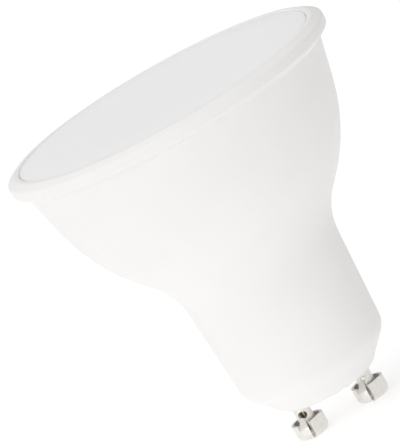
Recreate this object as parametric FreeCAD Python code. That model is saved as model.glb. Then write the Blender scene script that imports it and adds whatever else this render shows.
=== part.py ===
import FreeCAD, Part
import math
import os
from FreeCAD import Vector

# Spotlight lamp with a two-pin twist-lock cap. Millimetres and degrees.
# The base's flat face lies on z = 0, the lens looks along +Z, and the pins stand below on the X axis.

# Moulded housing
rim_diameter = 50.0
body_height = 47.9
base_face_diameter = 14.5
base_bevel_angle = 42.0
base_edge_round = 1.7
base_shoulder_round = 3.0
neck_foot_diameter = 22.0
neck_taper_angle = 3.2
waist_height = 22.55
waist_round = 10.5
bell_angle = 43.3
bell_round = 27.5
skirt_angle = 12.7

# Rim bead, with heights counted down from its crest
rim_wall = 2.2
rim_overhang = 1.6
rim_root_drop = 3.0
rim_edge_drop = 2.1
rim_bevel_drop = 0.7
rim_bevel_angle = 27.0
rim_bevel_round = 0.5
rim_crest_round = 0.9
rim_inner_round = 0.25
rim_edge_round = 0.5
rim_root_round = 0.3

# Frosted diffuser disc
diffuser_thickness = 2.0
diffuser_gap = 0.05
diffuser_rise = 0.15
diffuser_edge_round = 0.3

# Contact pins, each rolled from one strip of sheet
pin_pitch = 10.0
pin_projection = 5.1
pin_seat_depth = 4.0
pin_seat_clearance = 0.02
pin_turn_angle_left = -13.0
pin_turn_angle_right = -18.0
pin_sheet = 0.4
stem_diameter = 2.5
stem_tuck = 0.7
foot_diameter = 4.9
foot_height = 2.5
foot_slit = 0.4
foot_plate_turn_angle = 76.0
foot_curl_round = 0.5
foot_floor_hole_diameter = 2.4
foot_lip_round = 0.18
web_turn_angle = 36.0
web_lean_angle = 45.0
web_bend_round = 0.3

# Crimp mark that the punch leaves on each stem, and the lead that it grips
punch_diameter = 1.15
punch_drop_left = 1.6
punch_drop_right = 1.75
punch_turn_angle_left = -8.0
dimple_depth = 0.3
lead_diameter = 0.7
lead_recess = 0.7
lead_end_round = 0.15

LAMP_AXIS = Vector(0, 0, 1)
ORIGIN = Vector(0, 0, 0)
FRONT_ANGLE = 270.0
LEAST_RUN = 1e-6


def lean(angle):
    """Radius gained for each millimetre of height on a flank that leans out from the axis."""
    return math.tan(math.radians(angle))


def meet(low, low_angle, high, high_angle):
    """Corner where a flank through the low point meets a flank through the high point."""
    low_rise = lean(low_angle)
    high_rise = lean(high_angle)
    spread = high[0] - low[0] + low[1] * low_rise - high[1] * high_rise
    height = spread / (low_rise - high_rise)
    return low[0] + (height - low[1]) * low_rise, height


def tangent_reaches(points, rounds, runs):
    """How far each round reaches along its two runs; a round is limited by the runs beside it."""
    count = len(points)
    reaches = []
    for i in range(count):
        turn = runs[i - 1].getAngle(runs[i])
        reaches.append(rounds[i] * math.tan(turn / 2))
    shares = []
    for i in range(count):
        wanted = reaches[i] + reaches[(i + 1) % count]
        shares.append(min(1.0, runs[i].Length / wanted) if wanted else 1.0)
    return [reaches[i] * min(shares[i - 1], shares[i]) for i in range(count)]


def rounded_section(corners):
    """Flat face in the XZ plane through (radius, height, round) corners, with a tangent arc at each round."""
    points = [Vector(radius, 0, height) for radius, height, _ in corners]
    count = len(points)
    runs = [points[(i + 1) % count] - points[i] for i in range(count)]
    reaches = tangent_reaches(points, [corner[2] for corner in corners], runs)
    edges = []
    for i in range(count):
        way_in = Vector(runs[i - 1]).normalize()
        way_out = Vector(runs[i]).normalize()
        arc_start = points[i] - way_in * reaches[i]
        arc_end = points[i] + way_out * reaches[i]
        if reaches[i] > LEAST_RUN:
            half_turn = way_in.getAngle(way_out) / 2
            sagitta = reaches[i] / math.tan(half_turn) * (1 / math.cos(half_turn) - 1)
            arc_middle = points[i] + (way_out - way_in).normalize() * sagitta
            edges.append(Part.Arc(arc_start, arc_middle, arc_end).toShape())
        run_end = points[(i + 1) % count] - way_out * reaches[(i + 1) % count]
        if (run_end - arc_end).Length > LEAST_RUN:
            edges.append(Part.LineSegment(arc_end, run_end).toShape())
    return Part.Face(Part.Wire(edges))


def turned(section, start_angle=0.0, turn_angle=360.0):
    """Solid swept by a section round the Z axis, from one angle through another."""
    placed = section.copy()
    placed.rotate(ORIGIN, LAMP_AXIS, start_angle)
    return placed.revolve(ORIGIN, LAMP_AXIS, turn_angle)


# Sizes that follow from the driving dimensions
rim_radius = rim_diameter / 2
rim_inner_radius = rim_radius - rim_wall
rim_crest_radius = rim_radius - rim_bevel_drop / lean(rim_bevel_angle)
diffuser_seat_height = body_height + diffuser_rise - diffuser_thickness
stem_radius = stem_diameter / 2
stem_bore_radius = stem_radius - pin_sheet
foot_radius = foot_diameter / 2
foot_bore_radius = foot_radius - pin_sheet
foot_end = -pin_projection
foot_top = foot_end + foot_height
stem_end = foot_top - stem_tuck
pin_places = {"left": -pin_pitch / 2, "right": pin_pitch / 2}
pin_turns = {"left": pin_turn_angle_left, "right": pin_turn_angle_right}


def make_housing():
    """Bell-shaped body turned from one outline, with the diffuser's recess and a seat for each pin."""
    base_edge = (base_face_diameter / 2, 0.0)
    neck_foot = (neck_foot_diameter / 2, 0.0)
    waist = (neck_foot[0] + waist_height * lean(neck_taper_angle), waist_height)
    rim_root = (rim_radius - rim_overhang, body_height - rim_root_drop)
    shoulder = meet(base_edge, base_bevel_angle, neck_foot, neck_taper_angle)
    bell = meet(waist, bell_angle, rim_root, skirt_angle)
    body = turned(rounded_section([
        (0, 0, 0),
        (*base_edge, base_edge_round),
        (*shoulder, base_shoulder_round),
        (*waist, waist_round),
        (*bell, bell_round),
        (*rim_root, rim_root_round),
        (rim_radius, body_height - rim_edge_drop, rim_edge_round),
        (rim_radius, body_height - rim_bevel_drop, rim_bevel_round),
        (rim_crest_radius, body_height, rim_crest_round),
        (rim_inner_radius, body_height, rim_inner_round),
        (rim_inner_radius, diffuser_seat_height, 0),
        (0, diffuser_seat_height, 0),
    ]))
    seat_radius = stem_radius + pin_seat_clearance
    seats = [Part.makeCylinder(seat_radius, pin_seat_depth, Vector(x, 0, 0)) for x in pin_places.values()]
    return body.cut(seats)


def make_diffuser():
    """Flat disc on the floor of the rim's recess, with a softened front edge."""
    radius = rim_inner_radius - diffuser_gap
    front = diffuser_seat_height + diffuser_thickness
    return turned(rounded_section([
        (0, diffuser_seat_height, 0),
        (radius, diffuser_seat_height, 0),
        (radius, front, diffuser_edge_round),
        (0, front, 0),
    ]))


def foot_floor_corners():
    """Section corners of the foot's lower wall, curled in to a floor with a round hole."""
    floor_hole_radius = foot_floor_hole_diameter / 2
    return [
        (foot_radius, foot_end, foot_curl_round + pin_sheet),
        (floor_hole_radius, foot_end, 0),
        (floor_hole_radius, foot_end + pin_sheet, 0),
        (foot_bore_radius, foot_end + pin_sheet, foot_curl_round),
    ]


def make_flat_plate(start_angle):
    """Part of the foot on the slit's other side, its wall pressed flat, with its share of the floor."""
    middle_angle = start_angle + foot_plate_turn_angle / 2
    face = foot_radius * math.cos(math.radians(foot_plate_turn_angle / 2))
    floor_top = foot_end + pin_sheet
    floor_hole_radius = foot_floor_hole_diameter / 2
    outside = turned(rounded_section([
        (0, foot_top, 0),
        (foot_radius, foot_top, 0),
        (foot_radius, foot_end, foot_curl_round + pin_sheet),
        (0, foot_end, 0),
    ]), start_angle, foot_plate_turn_angle)
    inside = turned(rounded_section([
        (0, stem_end + foot_height, 0),
        (foot_bore_radius, stem_end + foot_height, 0),
        (foot_bore_radius, floor_top, foot_curl_round),
        (floor_hole_radius, floor_top, 0),
        (floor_hole_radius, floor_top - foot_height, 0),
        (0, floor_top - foot_height, 0),
    ]))
    return outside.cut(beyond(face, middle_angle)).cut(inside.cut(beyond(face - pin_sheet, middle_angle)))


def beyond(distance, angle):
    """Block of all that lies further than a distance from the axis in one direction."""
    block = Part.makeBox(foot_diameter, 2 * foot_diameter, 4 * foot_height,
                         Vector(distance, -foot_diameter, foot_end - foot_height))
    block.rotate(ORIGIN, LAMP_AXIS, angle)
    return block


def make_rolled_pin():
    """Stem tube and wider slit foot of one sheet, joined by a joggled web beside the slit, facing -Y."""
    step_half_height = (foot_radius - stem_radius) / 2 / lean(web_lean_angle)
    step_offset = pin_sheet * math.tan(math.radians(web_lean_angle) / 2)
    step_top = foot_top + step_half_height
    step_bottom = foot_top - step_half_height
    web_section = rounded_section([
        (stem_bore_radius, pin_seat_depth, 0),
        (stem_radius, pin_seat_depth, 0),
        (stem_radius, step_top, web_bend_round),
        (foot_radius, step_bottom, web_bend_round + pin_sheet),
        *foot_floor_corners(),
        (foot_bore_radius, step_bottom - step_offset, web_bend_round),
        (stem_bore_radius, step_top - step_offset, web_bend_round + pin_sheet),
    ])
    foot_section = rounded_section([
        (foot_bore_radius, foot_top, foot_lip_round),
        (foot_radius, foot_top, foot_lip_round),
        *foot_floor_corners(),
    ])
    stem_section = rounded_section([
        (stem_bore_radius, pin_seat_depth, 0),
        (stem_radius, pin_seat_depth, 0),
        (stem_radius, stem_end, 0),
        (stem_bore_radius, stem_end, 0),
    ])
    slit_angle = math.degrees(foot_slit / foot_radius)
    web_end = FRONT_ANGLE - slit_angle / 2
    web_start = web_end - web_turn_angle
    web = turned(web_section, web_start, web_turn_angle)
    stem = turned(stem_section, web_end, 360.0 - web_turn_angle)
    plate_start = web_end + slit_angle
    plate_end = plate_start + foot_plate_turn_angle
    plate = make_flat_plate(plate_start)
    foot = turned(foot_section, plate_end, web_start + 360.0 - plate_end)
    return web.fuse([stem, plate, foot]).removeSplitter()


def pierce(pin):
    """Crimp mark where the punch went through the stem's front wall, a little aside from the slit."""
    mark = Part.makeCylinder(punch_diameter / 2, foot_radius, Vector(0, 0, -punch_drop_left), Vector(0, -1, 0))
    mark.rotate(ORIGIN, LAMP_AXIS, punch_turn_angle_left)
    return pin.cut(mark)


def dimple(pin):
    """Crimp mark where the punch only pressed the stem's front wall inwards, at an even thickness."""
    ball_radius = (punch_diameter ** 2 / 4 + dimple_depth ** 2) / (2 * dimple_depth)
    ball_centre = Vector(0, dimple_depth - stem_radius - ball_radius, -punch_drop_right)
    backing = Part.makeSphere(ball_radius + pin_sheet, ball_centre)
    bore_foot = Vector(0, 0, -punch_drop_right - stem_radius)
    bore = Part.makeCylinder(stem_bore_radius + pin_sheet / 2, stem_diameter, bore_foot)
    return pin.fuse(backing.common(bore)).cut(Part.makeSphere(ball_radius, ball_centre))


def place_pin(shape, side):
    """Turn a pin or lead to its slit's direction and carry it to its side of the cap."""
    shape.rotate(ORIGIN, LAMP_AXIS, pin_turns[side])
    shape.translate(Vector(pin_places[side], 0, 0))
    return shape


def make_lead():
    """End of the lead inside the hollow pin, from the floor of the pin's seat to just above the foot's floor."""
    lead_end = foot_end + lead_recess
    return turned(rounded_section([
        (0, pin_seat_depth, 0),
        (lead_diameter / 2, pin_seat_depth, 0),
        (lead_diameter / 2, lead_end, lead_end_round),
        (0, lead_end, 0),
    ]))


crimped_pins = {"left": pierce(make_rolled_pin()), "right": dimple(make_rolled_pin())}
nodes = {"housing": make_housing(), "diffuser": make_diffuser()}
for side in pin_places:
    nodes[f"contact_pin_{side}"] = place_pin(crimped_pins[side], side)
    nodes[f"lead_wire_{side}"] = place_pin(make_lead(), side)

os.makedirs("parts", exist_ok=True)
for name, shape in nodes.items():
    shape.exportStep(f"parts/{name}.step")
    print(name, shape.isValid(), len(shape.Solids), round(shape.Volume, 3), shape.BoundBox)
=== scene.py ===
import math

import bmesh
import bpy
import numpy as np
from mathutils import Matrix, Vector


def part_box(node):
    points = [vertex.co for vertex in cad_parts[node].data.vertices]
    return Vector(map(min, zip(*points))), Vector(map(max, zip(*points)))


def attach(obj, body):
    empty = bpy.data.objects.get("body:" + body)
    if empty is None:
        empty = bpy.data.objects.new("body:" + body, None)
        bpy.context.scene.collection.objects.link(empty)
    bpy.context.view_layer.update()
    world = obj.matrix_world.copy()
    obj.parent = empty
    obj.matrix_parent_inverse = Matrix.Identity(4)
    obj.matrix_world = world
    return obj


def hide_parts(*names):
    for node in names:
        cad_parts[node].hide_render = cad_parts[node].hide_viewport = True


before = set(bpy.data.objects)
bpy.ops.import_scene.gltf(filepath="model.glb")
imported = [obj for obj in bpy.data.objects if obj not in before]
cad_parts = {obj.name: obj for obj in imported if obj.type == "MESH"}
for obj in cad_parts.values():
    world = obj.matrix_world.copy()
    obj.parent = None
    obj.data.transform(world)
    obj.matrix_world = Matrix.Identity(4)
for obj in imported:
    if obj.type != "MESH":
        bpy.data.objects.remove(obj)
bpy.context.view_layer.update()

# A reflector-shaped spotlight lamp with a two-pin twist-lock cap, in metres.
# The lens looks along +Z, the base's flat face lies on z = 0, and the pins stand below on the X axis.

MM = 0.001

# Housing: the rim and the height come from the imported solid, and the other sizes are the solid's own
_, housing_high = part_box("housing")
RIM_RADIUS = housing_high.x
BODY_HEIGHT = housing_high.z
BASE_FACE_RADIUS = 7.25 * MM
BASE_BEVEL_ANGLE = 42.0
BASE_EDGE_ROUND = 1.7 * MM
BASE_SHOULDER_ROUND = 3.0 * MM
NECK_FOOT_RADIUS = 11.0 * MM
NECK_TAPER_ANGLE = 3.2
WAIST_HEIGHT = 22.55 * MM
WAIST_ROUND = 10.5 * MM
BELL_ANGLE = 43.3
BELL_ROUND = 27.5 * MM
SKIRT_ANGLE = 12.7
RIM_WALL = 2.2 * MM
RIM_OVERHANG = 1.6 * MM
RIM_ROOT_DROP = 3.0 * MM
RIM_EDGE_DROP = 2.1 * MM
RIM_BEVEL_DROP = 0.7 * MM
RIM_BEVEL_ANGLE = 27.0
RIM_BEVEL_ROUND = 0.5 * MM
RIM_CREST_ROUND = 0.9 * MM
RIM_INNER_ROUND = 0.25 * MM
RIM_EDGE_ROUND = 0.5 * MM
RIM_ROOT_ROUND = 0.3 * MM

# Diffuser disc, which slopes down to its edge
diffuser_low, diffuser_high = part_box("diffuser")
DIFFUSER_RADIUS = diffuser_high.x
DIFFUSER_EDGE_ROUND = 0.1 * MM
DIFFUSER_EDGE_FALL = 0.25 * MM
DIFFUSER_SLOPE_WIDTH = 2.5 * MM
DIFFUSER_SLOPE_ROUND = 40.0 * MM

# Rolled pins and the leads inside them
pin_low, pin_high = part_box("contact_pin_right")
PIN_PITCH = 10.0 * MM
PIN_TOP = pin_high.z
FOOT_END = pin_low.z
FOOT_RADIUS = PIN_PITCH / 2 - pin_low.x
FOOT_HEIGHT = 2.5 * MM
FOOT_SLIT = 0.4 * MM
FOOT_PLATE_TURN = math.radians(76.0)
FOOT_CURL_ROUND = 0.5 * MM
FOOT_FLOOR_HOLE_RADIUS = 1.2 * MM
STEM_RADIUS = 1.25 * MM
STEM_TUCK = 0.7 * MM
PIN_SHEET = 0.4 * MM
PIN_SEAT_CLEARANCE = 0.02 * MM
PIN_SEAT_CUT_START = -1.0 * MM
PIN_TURNS = {"left": math.radians(-13.0), "right": math.radians(-18.0)}
WEB_TURN = math.radians(36.0)
WEB_LEAN = math.radians(45.0)
WEB_BEND_ROUND = 0.3 * MM
PUNCH_RADIUS = 0.575 * MM
PIERCED_DROP = 1.6 * MM
PIERCED_TURN = math.radians(-8.0)
DIMPLE_DROP = 1.75 * MM
DIMPLE_DEPTH = 0.3 * MM
DIMPLE_EDGE_POWER = 6
LEAD_RADIUS = 0.35 * MM
LEAD_RECESS = 0.7 * MM
LEAD_END_ROUND = 0.15 * MM

# Mesh fineness: steps round a turn and along an outline, and a pin's points across its web, slit and rest
TURN_STEPS = 288
ARC_STEP = math.radians(5.0)
RUN_STEP = 0.6 * MM
FINE_STEP = 0.06 * MM
WEB_POINTS = 21
SLIT_POINTS = 6
REST_POINTS = 97
FLOOR_STEPS = 64
SHARP_ANGLE = math.radians(40.0)
WELD = 1e-6

# Shares of a noise pattern at which a finish reaches its two colours
PATTERN_LOW = 0.3
PATTERN_HIGH = 0.7

# Light: the surroundings' level and its change towards +X, +Y and +Z, and the soft boxes' power in watts
SURROUND_LEVEL = 0.58
SURROUND_SLOPE = (-0.2, -0.1, 0.277)
SOFT_BOX_SIZE = 0.5
KEY_PLACE = Vector((-0.65, -0.9, 0.3))
KEY_POWER = 1.68
OVERHEAD_PLACE = Vector((-0.15, 0.15, 1.1))
OVERHEAD_POWER = 1.52

# Floor: its even glow, plus painted light added behind and left of the lamp and a painted pool of light under
# it, each over its own span
FLOOR_RADIUS = 4.0
FLOOR_GLOW = 0.21
PAINTED_LIGHT_BEHIND = 0.14
PAINTED_LIGHT_BEHIND_SPAN = (-0.07, 0.07)
PAINTED_LIGHT_LEFT = 0.036
PAINTED_LIGHT_LEFT_SPAN = (0.1, -0.2)
PAINTED_POOL_UNDER = 0.1
PAINTED_POOL_UNDER_SPAN = (0.06, 0.0)
PAINTED_POOL_UNDER_CENTRE = (-0.01, -0.008, FOOT_END)

# Camera, from the outline fitted to the photograph, with a sensor in millimetres
IMAGE_WIDTH = 400
IMAGE_HEIGHT = 444
FOCAL_PIXELS = 4394.0
SENSOR = 36.0
CAMERA_AZIMUTH = math.radians(-8.0)
CAMERA_DISTANCE = 0.600
CAMERA_HEIGHT = 0.1566
CAMERA_ROLL = math.radians(29.8)
CAMERA_CLIP = 0.01
AIM_POINT = Vector((0.0, 0.0, 0.026))
AIM_PIXEL = (238.14, 228.08)


def lean(angle):
    """Radius gained for each unit of height on a flank that leans out by this many degrees: the tangent."""
    return math.tan(math.radians(angle))


def meet(low, low_angle, high, high_angle):
    """Corner where a flank through the low point meets a flank through the high point.

    Both flanks are straight lines of radius over height, so the corner's height makes their radii equal.
    """
    low_rise = lean(low_angle)
    high_rise = lean(high_angle)
    height = (high[0] - low[0] + low[1] * low_rise - high[1] * high_rise) / (low_rise - high_rise)
    return low[0] + (height - low[1]) * low_rise, height


def rounded_path(corners, run_step=RUN_STEP):
    """Points (radius, height) along straight runs between (radius, height, round) corners.

    At a corner with round R and turn T, an arc leaves the run R tan(T/2) before the corner. Its points
    are the arc's centre plus R times a unit vector turned evenly from the first run's normal to the second's.
    """
    spots = np.array([corner[:2] for corner in corners])
    rounds = np.array([corner[2] for corner in corners])
    runs = np.diff(spots, axis=0)
    ways = runs / np.linalg.norm(runs, axis=1)[:, None]
    pieces = []
    start = spots[0]
    for i in range(1, len(spots)):
        way = ways[i - 1]
        turn = 0.0
        if i < len(ways) and rounds[i] > 0:
            turn = math.atan2(way[0] * ways[i][1] - way[1] * ways[i][0], way @ ways[i])
        reach = rounds[i] * math.tan(abs(turn) / 2)
        end = spots[i] - way * reach
        count = max(1, math.ceil(np.linalg.norm(end - start) / run_step))
        pieces.append(start + (end - start) * np.linspace(0, 1, count, endpoint=False)[:, None])
        start = end
        if turn:
            side = math.copysign(1.0, turn)
            normal = np.array([-way[1], way[0]]) * side
            steps = max(2, math.ceil(abs(turn) / ARC_STEP))
            swing = np.linspace(0, turn, steps, endpoint=False)[:, None]
            spin = np.cos(swing) * -normal + np.sin(swing) * np.array([normal[1], -normal[0]])
            pieces.append(end + rounds[i] * normal + rounds[i] * spin)
            start = spots[i] + ways[i] * reach
    return np.vstack([*pieces, spots[-1:]])


def turned_grid(path, angles):
    """Grid of points: each path point (r, z) at each angle a is (r cos a, r sin a, z)."""
    radius, height = path[:, 0:1], path[:, 1:2]
    return np.stack([radius * np.cos(angles), radius * np.sin(angles), height + 0 * angles], axis=-1)


def grid_faces(rows, columns, first):
    """Quads between neighbouring rows and columns of a grid whose points are numbered from first."""
    number = first + np.arange(rows * columns).reshape(rows, columns)
    corners = [number[:-1, :-1], number[1:, :-1], number[1:, 1:], number[:-1, 1:]]
    return np.stack(corners, axis=-1).reshape(-1, 4)


def stacked(grids):
    """Points and quads of several grids, numbered together."""
    points, faces, first = [], [], 0
    for grid in grids:
        rows, columns = grid.shape[:2]
        points.append(grid.reshape(-1, 3))
        faces.append(grid_faces(rows, columns, first))
        first += rows * columns
    return np.vstack(points), np.vstack(faces)


def weld(mesh):
    """Merge a mesh's doubled points, drop faces without area and turn the faces outwards."""
    work = bmesh.new()
    work.from_mesh(mesh)
    bmesh.ops.remove_doubles(work, verts=work.verts, dist=WELD)
    bmesh.ops.dissolve_degenerate(work, edges=work.edges, dist=WELD / 10)
    bmesh.ops.recalc_face_normals(work, faces=work.faces)
    work.to_mesh(mesh)
    work.free()


def welded_object(name, points, faces):
    """Object from points and quads, with shared edges welded."""
    mesh = bpy.data.meshes.new(name)
    mesh.from_pydata(points.tolist(), [], faces.tolist())
    weld(mesh)
    piece = bpy.data.objects.new(name, mesh)
    bpy.context.scene.collection.objects.link(piece)
    return piece


def soften(piece):
    """Smooth shading that breaks only at real edges."""
    piece.data.shade_smooth()
    piece.data.set_sharp_from_angle(angle=SHARP_ANGLE)


def turned_piece(name, corners):
    """Closed body of revolution: an outline of straight runs and tangent arcs, carried once round Z."""
    angles = np.linspace(0, 2 * math.pi, TURN_STEPS + 1)
    return welded_object(name, *stacked([turned_grid(rounded_path(corners), angles)]))


def apply_modifiers(piece):
    """Make the result of the piece's modifiers its own mesh, welded."""
    shaped = piece.evaluated_get(bpy.context.evaluated_depsgraph_get())
    mesh = bpy.data.meshes.new_from_object(shaped)
    weld(mesh)
    piece.modifiers.clear()
    piece.data = mesh


def cut_rods(piece, radius, ends):
    """Take round rods, each between two end points, out of a closed piece."""
    for start, end in ends:
        way = end - start
        turn = way.to_track_quat("Z", "Y").to_matrix().to_4x4()
        rod = turned_piece("rod", [
            (0, 0, 0),
            (radius, 0, 0),
            (radius, way.length, 0),
            (0, way.length, 0),
        ])
        rod.data.transform(Matrix.Translation(start) @ turn)
        cut = piece.modifiers.new("cut", "BOOLEAN")
        cut.operation = "DIFFERENCE"
        cut.solver = "EXACT"
        cut.object = rod
        apply_modifiers(piece)
        bpy.data.objects.remove(rod)


def make_housing():
    """Moulded bell, neck and base, turned round Z in one, with the diffuser's recess and the pins' seats."""
    base_edge = (BASE_FACE_RADIUS, 0.0)
    neck_foot = (NECK_FOOT_RADIUS, 0.0)
    waist = (NECK_FOOT_RADIUS + WAIST_HEIGHT * lean(NECK_TAPER_ANGLE), WAIST_HEIGHT)
    rim_root = (RIM_RADIUS - RIM_OVERHANG, BODY_HEIGHT - RIM_ROOT_DROP)
    shoulder = meet(base_edge, BASE_BEVEL_ANGLE, neck_foot, NECK_TAPER_ANGLE)
    bell = meet(waist, BELL_ANGLE, rim_root, SKIRT_ANGLE)
    rim_inner_radius = RIM_RADIUS - RIM_WALL
    rim_crest_radius = RIM_RADIUS - RIM_BEVEL_DROP / lean(RIM_BEVEL_ANGLE)
    housing = turned_piece("housing_shell", [
        (0, 0, 0),
        (*base_edge, BASE_EDGE_ROUND),
        (*shoulder, BASE_SHOULDER_ROUND),
        (*waist, WAIST_ROUND),
        (*bell, BELL_ROUND),
        (*rim_root, RIM_ROOT_ROUND),
        (RIM_RADIUS, BODY_HEIGHT - RIM_EDGE_DROP, RIM_EDGE_ROUND),
        (RIM_RADIUS, BODY_HEIGHT - RIM_BEVEL_DROP, RIM_BEVEL_ROUND),
        (rim_crest_radius, BODY_HEIGHT, RIM_CREST_ROUND),
        (rim_inner_radius, BODY_HEIGHT, RIM_INNER_ROUND),
        (rim_inner_radius, diffuser_low.z, 0),
        (0, diffuser_low.z, 0),
    ])
    cut_rods(housing, STEM_RADIUS + PIN_SEAT_CLEARANCE, [
        (Vector((x, 0, PIN_SEAT_CUT_START)), Vector((x, 0, PIN_TOP)))
        for x in (-PIN_PITCH / 2, PIN_PITCH / 2)
    ])
    return housing


def make_diffuser():
    """Frosted disc, flat in the middle, whose outer zone slopes gently down to a softened edge."""
    return turned_piece("diffuser_disc", [
        (0, diffuser_low.z, 0),
        (DIFFUSER_RADIUS, diffuser_low.z, 0),
        (DIFFUSER_RADIUS, diffuser_high.z - DIFFUSER_EDGE_FALL, DIFFUSER_EDGE_ROUND),
        (DIFFUSER_RADIUS - DIFFUSER_SLOPE_WIDTH, diffuser_high.z, DIFFUSER_SLOPE_ROUND),
        (0, diffuser_high.z, 0),
    ])


def pin_surface():
    """Points and quads of one rolled strip's middle surface, with the slit facing -Y.

    Each part of it is a profile of radius over height, turned through its own angles. The stem is a closed
    tube. Beside the slit a web carries it out along an S of two arcs to the wider foot, which is open round
    the stem elsewhere and curls in to a floor at its end. On the slit's other side the foot's wall is
    pressed flat.
    """
    half = PIN_SHEET / 2
    stem, foot = STEM_RADIUS - half, FOOT_RADIUS - half
    foot_top = FOOT_END + FOOT_HEIGHT
    step_half_height = (FOOT_RADIUS - STEM_RADIUS) / 2 / math.tan(WEB_LEAN)
    step_middle = foot_top - half * math.tan(WEB_LEAN / 2)
    bend = WEB_BEND_ROUND + half
    bend_reach = bend * math.tan(WEB_LEAN / 2)
    step_top = step_middle + step_half_height + bend_reach
    step_bottom = step_middle - step_half_height - bend_reach
    hidden_path = rounded_path([(stem, PIN_TOP, 0), (stem, -STEM_TUCK / 2, 0)])
    stem_path = rounded_path([(stem, -STEM_TUCK / 2, 0), (stem, step_top, 0)], FINE_STEP)
    tail_path = rounded_path([(stem, step_top, 0), (stem, foot_top - STEM_TUCK, 0)], FINE_STEP)
    web_path = rounded_path([
        (stem, step_top, 0),
        (stem, step_middle + step_half_height, bend),
        (foot, step_middle - step_half_height, bend),
        (foot, step_bottom, 0),
    ], FINE_STEP)
    rise_path = rounded_path([(foot, foot_top, 0), (foot, step_bottom, 0)])
    foot_path = rounded_path([
        (foot, step_bottom, 0),
        (foot, FOOT_END + half, FOOT_CURL_ROUND + half),
        (FOOT_FLOOR_HOLE_RADIUS, FOOT_END + half, 0),
    ])
    slit_turn = FOOT_SLIT / FOOT_RADIUS
    web_end = -math.pi / 2 - slit_turn / 2
    web_angles = np.linspace(web_end - WEB_TURN, web_end, WEB_POINTS)
    slit_angles = np.linspace(web_end, web_end + slit_turn, SLIT_POINTS)
    rest_end = web_end - WEB_TURN + 2 * math.pi
    rest_angles = np.linspace(web_end + slit_turn, rest_end, REST_POINTS)
    behind_web = np.concatenate([slit_angles, rest_angles[1:]])
    round_foot = np.concatenate([rest_angles, web_angles[1:] + 2 * math.pi])
    full_turn = np.concatenate([web_angles, behind_web[1:]])
    plate_angle = web_end + slit_turn + FOOT_PLATE_TURN / 2
    return stacked([
        turned_grid(np.vstack([hidden_path[:-1], stem_path]), full_turn),
        turned_grid(tail_path, behind_web),
        turned_grid(web_path, web_angles),
        pressed_flat(turned_grid(rise_path, rest_angles), plate_angle),
        pressed_flat(turned_grid(foot_path, round_foot), plate_angle),
    ])


def pressed_flat(grid, plate_angle):
    """The foot's wall pressed onto a flat plate: points beyond its plane move in towards the axis onto it.

    The plane stands across plate_angle, where its outer face is the chord over the plate's turn. A point
    at angle a from there meets it at the plane's distance over cos a.
    """
    distance = FOOT_RADIUS * math.cos(FOOT_PLATE_TURN / 2) - PIN_SHEET / 2
    ahead = grid[..., 0] * math.cos(plate_angle) + grid[..., 1] * math.sin(plate_angle)
    shrink = np.where(ahead > distance, distance / np.maximum(ahead, WELD), 1.0)
    return grid * np.stack([shrink, shrink, np.ones_like(shrink)], axis=-1)


def seen_by_punch(points, turn, drop):
    """Place of each point across, along and above the punch, which strikes from -Y plus a turn round Z."""
    across = points[:, 0] * math.cos(turn) + points[:, 1] * math.sin(turn)
    along = points[:, 0] * math.sin(turn) - points[:, 1] * math.cos(turn)
    return across, along, points[:, 2] + drop


def pierce(points, faces):
    """Round hole in the stem's front: quads inside the punch go, and points inside move out to its circle.

    A point's offset from the punch's axis is scaled to the punch's radius, and the point keeps its distance
    from the stem's axis.
    """
    across, along, above = seen_by_punch(points, PIERCED_TURN, PIERCED_DROP)
    offset = np.hypot(across, above)
    inside = (offset < PUNCH_RADIUS) & (along > 0)
    grow = np.where(inside, PUNCH_RADIUS / np.maximum(offset, WELD), 1.0)
    reach = np.hypot(across, along)
    across = across * grow
    along = np.where(inside, np.sqrt(np.maximum(reach ** 2 - across ** 2, 0)), along)
    moved = np.stack([
        across * math.cos(PIERCED_TURN) + along * math.sin(PIERCED_TURN),
        across * math.sin(PIERCED_TURN) - along * math.cos(PIERCED_TURN),
        above * grow - PIERCED_DROP,
    ], axis=-1)
    return moved, faces[~inside[faces].all(axis=1)]


def dimple(points, faces):
    """Round dent with a flat bottom in the stem's front, pressed straight in.

    The offset from the punch's axis, as a share of the punch's radius, is raised to the edge's power. The
    depth is multiplied by the square of one less that.
    """
    across, along, above = seen_by_punch(points, 0.0, DIMPLE_DROP)
    share = np.where(along > 0, np.clip(np.hypot(across, above) / PUNCH_RADIUS, 0, 1), 1.0)
    depth = DIMPLE_DEPTH * (1 - share ** DIMPLE_EDGE_POWER) ** 2
    return points + np.array([0.0, 1.0, 0.0]) * depth[:, None], faces


def make_pin(side, place, crimp):
    """One rolled pin: its strip crimped by the punch and thickened to the sheet."""
    pin = welded_object(f"pin_{side}", *crimp(*pin_surface()))
    wall = pin.modifiers.new("sheet", "SOLIDIFY")
    wall.thickness = PIN_SHEET
    wall.offset = 0.0
    wall.use_even_offset = True
    apply_modifiers(pin)
    pin.data.transform(Matrix.Translation((place, 0, 0)) @ Matrix.Rotation(PIN_TURNS[side], 4, "Z"))
    return pin


def make_lead(side, place):
    """End of the lead inside a hollow pin: a rod turned round Z with a softened tip."""
    lead_end = FOOT_END + LEAD_RECESS
    lead = turned_piece(f"lead_{side}", [
        (0, lead_end, 0),
        (LEAD_RADIUS, lead_end, LEAD_END_ROUND),
        (LEAD_RADIUS, PIN_TOP, 0),
        (0, PIN_TOP, 0),
    ])
    lead.data.transform(Matrix.Translation((place, 0, 0)))
    return lead


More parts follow.
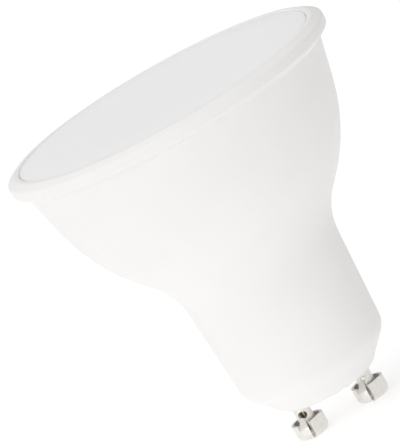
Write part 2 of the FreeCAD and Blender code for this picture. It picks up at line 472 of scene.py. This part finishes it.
class Finish:
    """A node material round one Principled shader, with patterns on object coordinates."""

    def __init__(self, name, colour, roughness, metallic=0.0):
        self.material = bpy.data.materials.new(name)
        self.material.use_nodes = True
        self.nodes = self.material.node_tree.nodes
        self.shader = self.nodes["Principled BSDF"]
        self.shader.inputs["Base Color"].default_value = (*colour, 1.0)
        self.shader.inputs["Roughness"].default_value = roughness
        self.shader.inputs["Metallic"].default_value = metallic
        self.place = self.nodes.new("ShaderNodeTexCoord").outputs["Object"]

    def link(self, output, target):
        """Join a node's output to another's input."""
        self.material.node_tree.links.new(output, target)

    def noise(self, scale, detail=3.0, stretch=(1.0, 1.0, 1.0)):
        """Noise with this many features in a metre, stretched along the axes."""
        mapping = self.nodes.new("ShaderNodeMapping")
        mapping.inputs["Scale"].default_value = stretch
        self.link(self.place, mapping.inputs["Vector"])
        texture = self.nodes.new("ShaderNodeTexNoise")
        texture.inputs["Scale"].default_value = scale
        texture.inputs["Detail"].default_value = detail
        self.link(mapping.outputs["Vector"], texture.inputs["Vector"])
        return texture.outputs["Fac"]

    def vary_colour(self, pattern, low, high):
        """Base colour that follows a pattern between two colours."""
        ramp = self.nodes.new("ShaderNodeValToRGB")
        ramp.color_ramp.elements[0].position = PATTERN_LOW
        ramp.color_ramp.elements[1].position = PATTERN_HIGH
        ramp.color_ramp.elements[0].color = (*low, 1.0)
        ramp.color_ramp.elements[1].color = (*high, 1.0)
        self.link(pattern, ramp.inputs["Fac"])
        self.link(ramp.outputs["Color"], self.shader.inputs["Base Color"])

    def vary_roughness(self, pattern, low, high):
        """Roughness that follows a pattern between two values."""
        scale = self.nodes.new("ShaderNodeMapRange")
        scale.inputs["To Min"].default_value = low
        scale.inputs["To Max"].default_value = high
        self.link(pattern, scale.inputs["Value"])
        self.link(scale.outputs["Result"], self.shader.inputs["Roughness"])

    def smooth_step(self, value, span, height, floor=0.0):
        """Smooth rise by this height, from its floor at the span's first value to its top at the second."""
        step = self.nodes.new("ShaderNodeMapRange")
        step.interpolation_type = "SMOOTHSTEP"
        step.inputs["From Min"].default_value = span[0]
        step.inputs["From Max"].default_value = span[1]
        step.inputs["To Min"].default_value = floor
        step.inputs["To Max"].default_value = floor + height
        self.link(value, step.inputs["Value"])
        return step.outputs["Result"]

    def sum(self, first, second):
        """Two values added."""
        add = self.nodes.new("ShaderNodeMath")
        self.link(first, add.inputs[0])
        self.link(second, add.inputs[1])
        return add.outputs["Value"]

    def bump(self, pattern, height):
        """Surface relief of this height in metres."""
        relief = self.nodes.new("ShaderNodeBump")
        relief.inputs["Distance"].default_value = height
        relief.inputs["Strength"].default_value = 1.0
        self.link(pattern, relief.inputs["Height"])
        self.link(relief.outputs["Normal"], self.shader.inputs["Normal"])


def white_plastic():
    """Satin moulded white plastic: a fine mould texture, and a faint mottling of its gloss and tone."""
    finish = Finish("moulded_white_plastic", colour=(0.878, 0.866, 0.852), roughness=0.5)
    finish.shader.inputs["Specular IOR Level"].default_value = 0.2
    finish.vary_colour(finish.noise(scale=140.0), low=(0.87, 0.858, 0.843), high=(0.886, 0.875, 0.862))
    finish.vary_roughness(finish.noise(scale=900.0), low=0.46, high=0.54)
    finish.bump(finish.noise(scale=5200.0, detail=2.0), height=0.004 * MM)
    finish.shader.inputs["Subsurface Weight"].default_value = 0.05
    finish.shader.inputs["Subsurface Radius"].default_value = (1.0, 0.95, 0.9)
    finish.shader.inputs["Subsurface Scale"].default_value = 1.0 * MM
    return finish.material


def frosted_plastic():
    """Frosted white diffuser: a cool tone, a finer grain and more light carried under the surface."""
    finish = Finish("frosted_diffuser_plastic", colour=(0.915, 0.917, 0.913), roughness=0.55)
    finish.shader.inputs["Specular IOR Level"].default_value = 0.3
    finish.vary_colour(finish.noise(scale=90.0), low=(0.911, 0.913, 0.909), high=(0.919, 0.921, 0.917))
    finish.vary_roughness(finish.noise(scale=1500.0), low=0.5, high=0.62)
    finish.bump(finish.noise(scale=8000.0, detail=2.0), height=0.003 * MM)
    finish.shader.inputs["Subsurface Weight"].default_value = 0.3
    finish.shader.inputs["Subsurface Radius"].default_value = (1.0, 1.0, 1.0)
    finish.shader.inputs["Subsurface Scale"].default_value = 2.0 * MM
    return finish.material


def plated_sheet():
    """Nickel-plated rolled sheet: fine draw lines along the pin, and a faint warm tarnish in patches."""
    finish = Finish("nickel_plated_sheet", colour=(0.83, 0.81, 0.78), roughness=0.46, metallic=1.0)
    finish.vary_colour(finish.noise(scale=1600.0), low=(0.8, 0.775, 0.74), high=(0.86, 0.845, 0.82))
    finish.vary_roughness(finish.noise(scale=4000.0, stretch=(1.0, 1.0, 0.15)), low=0.42, high=0.5)
    finish.bump(finish.noise(scale=6000.0, detail=2.0, stretch=(1.0, 1.0, 0.08)), height=0.0008 * MM)
    return finish.material


def lead_metal():
    """Dull drawn wire of a brassy tone, with lines along its length."""
    finish = Finish("dull_brassy_wire", colour=(0.58, 0.46, 0.26), roughness=0.38, metallic=1.0)
    finish.vary_colour(finish.noise(scale=2500.0), low=(0.46, 0.35, 0.19), high=(0.66, 0.54, 0.32))
    finish.vary_roughness(finish.noise(scale=6000.0, stretch=(1.0, 1.0, 0.1)), low=0.3, high=0.45)
    return finish.material


def floor_sheet_painted_light():
    """Plain white studio sheet with painted light in its glow.

    Its glow is an even level, plus painted light added by smooth steps along Y and along X, and a painted
    pool of light towards a point under the lamp.
    """
    finish = Finish("white_sheet_painted_light", colour=(0.82, 0.82, 0.82), roughness=0.8)
    finish.vary_roughness(finish.noise(scale=300.0), low=0.75, high=0.85)
    axes = finish.nodes.new("ShaderNodeSeparateXYZ")
    finish.link(finish.place, axes.inputs["Vector"])
    away = finish.nodes.new("ShaderNodeVectorMath")
    away.operation = "DISTANCE"
    away.inputs[1].default_value = PAINTED_POOL_UNDER_CENTRE
    finish.link(finish.place, away.inputs[0])
    # Painted light: a pool of glow on the floor under the lamp, and a brighter floor behind and left of it.
    under = finish.smooth_step(away.outputs["Value"], PAINTED_POOL_UNDER_SPAN, PAINTED_POOL_UNDER, FLOOR_GLOW)
    behind = finish.smooth_step(axes.outputs["Y"], PAINTED_LIGHT_BEHIND_SPAN, PAINTED_LIGHT_BEHIND)
    left = finish.smooth_step(axes.outputs["X"], PAINTED_LIGHT_LEFT_SPAN, PAINTED_LIGHT_LEFT)
    glow = finish.sum(finish.sum(under, behind), left)
    finish.shader.inputs["Emission Color"].default_value = (1.0, 1.0, 1.0, 1.0)
    finish.link(glow, finish.shader.inputs["Emission Strength"])
    return finish.material


def dress(piece, material, slot_name, *nodes):
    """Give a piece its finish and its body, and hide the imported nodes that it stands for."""
    soften(piece)
    piece.data.materials.clear()
    piece.data.materials.append(material)
    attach(piece, "root")
    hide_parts(*nodes)


def add_floor():
    """Round plain floor under the feet: a level line from the axis to its edge, carried once round Z."""
    line = np.array([[0.0, FOOT_END], [FLOOR_RADIUS, FOOT_END]])
    angles = np.linspace(0, 2 * math.pi, FLOOR_STEPS + 1)
    floor = welded_object("floor", *stacked([turned_grid(line, angles)]))
    floor.data.materials.append(floor_sheet_painted_light())


def add_soft_light(name, place, power):
    """Square soft box at a place, facing the middle of the lamp."""
    light = bpy.data.lights.new(name, "AREA")
    light.size = SOFT_BOX_SIZE
    light.energy = power
    box = bpy.data.objects.new(name, light)
    box.location = place
    box.rotation_mode = "QUATERNION"
    box.rotation_quaternion = (AIM_POINT - box.location).to_track_quat("-Z", "Y")
    bpy.context.scene.collection.objects.link(box)


def add_studio():
    """Soft white surroundings and two soft boxes, front left and overhead.

    The surroundings' strength is a level plus the dot product of the direction and a slope, so they are
    brighter above, to the left and in front.
    """
    world = bpy.data.worlds.new("studio")
    world.use_nodes = True
    nodes = world.node_tree.nodes
    links = world.node_tree.links
    slope = nodes.new("ShaderNodeVectorMath")
    slope.operation = "DOT_PRODUCT"
    slope.inputs[1].default_value = SURROUND_SLOPE
    links.new(nodes.new("ShaderNodeTexCoord").outputs["Generated"], slope.inputs[0])
    level = nodes.new("ShaderNodeMath")
    level.operation = "ADD"
    level.inputs[1].default_value = SURROUND_LEVEL
    links.new(slope.outputs["Value"], level.inputs[0])
    links.new(level.outputs["Value"], nodes["Background"].inputs["Strength"])
    nodes["Background"].inputs["Color"].default_value = (1.0, 1.0, 1.0, 1.0)
    bpy.context.scene.world = world
    bpy.context.scene.view_settings.view_transform = "Standard"
    add_soft_light("key_left", KEY_PLACE, KEY_POWER)
    add_soft_light("overhead", OVERHEAD_PLACE, OVERHEAD_POWER)


def add_camera():
    """Long lens at the photograph's angle, rolled so that the lamp leans left.

    The gaze is turned away from the aim point, so that the point falls on its pixel.
    """
    spot = Vector((
        math.sin(CAMERA_AZIMUTH) * CAMERA_DISTANCE,
        -math.cos(CAMERA_AZIMUTH) * CAMERA_DISTANCE,
        CAMERA_HEIGHT,
    ))
    ahead = (AIM_POINT - spot).normalized()
    level_right = ahead.cross(Vector((0, 0, 1))).normalized()
    level_up = level_right.cross(ahead)
    right = level_right * math.cos(CAMERA_ROLL) - level_up * math.sin(CAMERA_ROLL)
    up = level_right * math.sin(CAMERA_ROLL) + level_up * math.cos(CAMERA_ROLL)
    across = IMAGE_WIDTH / 2 - AIM_PIXEL[0]
    above = AIM_PIXEL[1] - IMAGE_HEIGHT / 2
    gaze = (ahead * FOCAL_PIXELS + right * across + up * above).normalized()
    right = gaze.cross(up).normalized()
    up = right.cross(gaze)
    data = bpy.data.cameras.new("camera")
    data.sensor_width = SENSOR
    data.lens = FOCAL_PIXELS / IMAGE_HEIGHT * SENSOR
    data.clip_start = CAMERA_CLIP
    camera = bpy.data.objects.new("camera", data)
    camera.matrix_world = Matrix.Translation(spot) @ Matrix((right, up, -gaze)).transposed().to_4x4()
    bpy.context.scene.collection.objects.link(camera)
    bpy.context.scene.camera = camera


dress(make_housing(), white_plastic(), "white_plastic", "housing")
dress(make_diffuser(), frosted_plastic(), "frosted_plastic", "diffuser")
sheet_finish = plated_sheet()
lead_finish = lead_metal()
for side, place, crimp in (("left", -PIN_PITCH / 2, pierce), ("right", PIN_PITCH / 2, dimple)):
    dress(make_pin(side, place, crimp), sheet_finish, "plated_sheet", f"contact_pin_{side}")
    dress(make_lead(side, place), lead_finish, "lead_metal", f"lead_wire_{side}")
add_floor()
add_studio()
add_camera()
